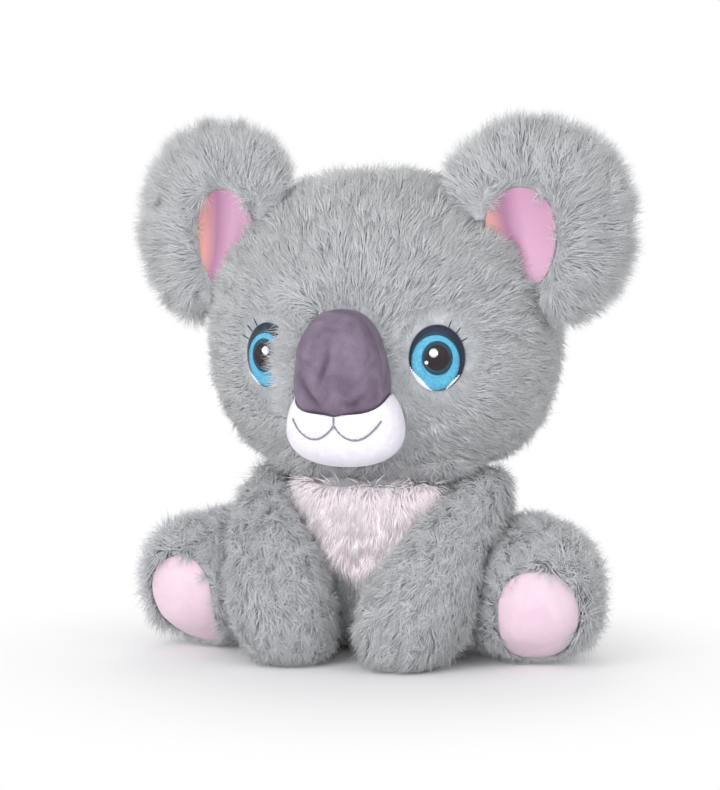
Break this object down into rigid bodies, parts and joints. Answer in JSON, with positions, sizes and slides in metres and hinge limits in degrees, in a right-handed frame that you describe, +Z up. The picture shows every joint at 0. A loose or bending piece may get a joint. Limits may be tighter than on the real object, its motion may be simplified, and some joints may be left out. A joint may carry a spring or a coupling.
{
  "type": "plush toy koala",
  "caption": "Sitting plush koala with a large round head, scooped round ears, front paws on the floor, splayed feet with pads, and a white bib.",
  "frame": {"origin": "middle of the flat seat, on the surface that the toy sits on", "axes": "+Z up; the toy looks along -Y, and its own left is +X"},
  "size_m": [0.156, 0.0944, 0.1603],
  "materials": {
    "grey_plush": "long soft pile, matt, slightly marled",
    "white_plush": "long soft pile, matt",
    "white_velour": "short dense pile, matt",
    "grey_velour": "short dense pile, matt, mauve grey",
    "pink_velour": "short dense pile, matt",
    "pink_satin": "smooth woven satin, soft sheen",
    "navy_thread": "satin stitch, slight sheen",
    "blue_thread": "satin stitch, slight sheen",
    "black_thread": "satin stitch, slight sheen",
    "grey_thread": "one line of embroidered thread",
    "polyester_fibre": "loose white fibre, inside"
  },
  "bodies": {
    "torso": {"torso_cover": "grey_plush", "torso_filling": "polyester_fibre", "chest_bib": "white_plush"},
    "head": {"head_cover": "grey_plush", "head_filling": "polyester_fibre", "muzzle": "white_velour", "nose": "grey_velour", "mouth_stitch": "grey_thread", "left_eye": "navy_thread", "left_iris": "blue_thread", "left_pupil": "black_thread", "right_eye": "navy_thread", "right_iris": "blue_thread", "right_pupil": "black_thread"},
    "left_ear": {"left_ear": "grey_plush", "left_ear_lining": "pink_satin"},
    "right_ear": {"right_ear": "grey_plush", "right_ear_lining": "pink_satin"},
    "left_arm": {"left_arm_cover": "grey_plush", "left_arm_filling": "polyester_fibre"},
    "right_arm": {"right_arm_cover": "grey_plush", "right_arm_filling": "polyester_fibre"},
    "left_leg": {"left_leg_cover": "grey_plush", "left_leg_filling": "polyester_fibre", "left_foot_pad": "pink_velour"},
    "right_leg": {"right_leg_cover": "grey_plush", "right_leg_filling": "polyester_fibre", "right_foot_pad": "pink_velour"}
  },
  "joints": [
    {"name": "neck_turn", "type": "hinge", "parent": "torso", "child": "head", "pos_m": [0, 0, 0.048], "axis": [0, 0, 1], "range_deg": [-15, 15], "stiffness_Nm_per_rad": 0.4},
    {"name": "left_shoulder", "type": "hinge", "parent": "torso", "child": "left_arm", "pos_m": [0.0324, -0.0022, 0.048], "axis": [-1, 0, 0], "range_deg": [0, 25], "stiffness_Nm_per_rad": 0.08},
    {"name": "right_shoulder", "type": "hinge", "parent": "torso", "child": "right_arm", "pos_m": [-0.0324, -0.0022, 0.048], "axis": [-1, 0, 0], "range_deg": [0, 25], "stiffness_Nm_per_rad": 0.08},
    {"name": "left_hip", "type": "hinge", "parent": "torso", "child": "left_leg", "pos_m": [0.037, 0.0087, 0.02], "axis": [0, 0, 1], "range_deg": [0, 12], "stiffness_Nm_per_rad": 0.12},
    {"name": "right_hip", "type": "hinge", "parent": "torso", "child": "right_leg", "pos_m": [-0.037, 0.0087, 0.02], "axis": [0, 0, -1], "range_deg": [0, 12], "stiffness_Nm_per_rad": 0.12},
    {"name": "left_ear_fold", "type": "hinge", "parent": "head", "child": "left_ear", "pos_m": [0.04403, -0.01056, 0.12546], "axis": [0.5429, 0, -0.8398], "range_deg": [-10, 10], "stiffness_Nm_per_rad": 0.03},
    {"name": "right_ear_fold", "type": "hinge", "parent": "head", "child": "right_ear", "pos_m": [-0.04403, -0.01056, 0.12546], "axis": [0.5429, 0, 0.8398], "range_deg": [-10, 10], "stiffness_Nm_per_rad": 0.03}
  ]
}
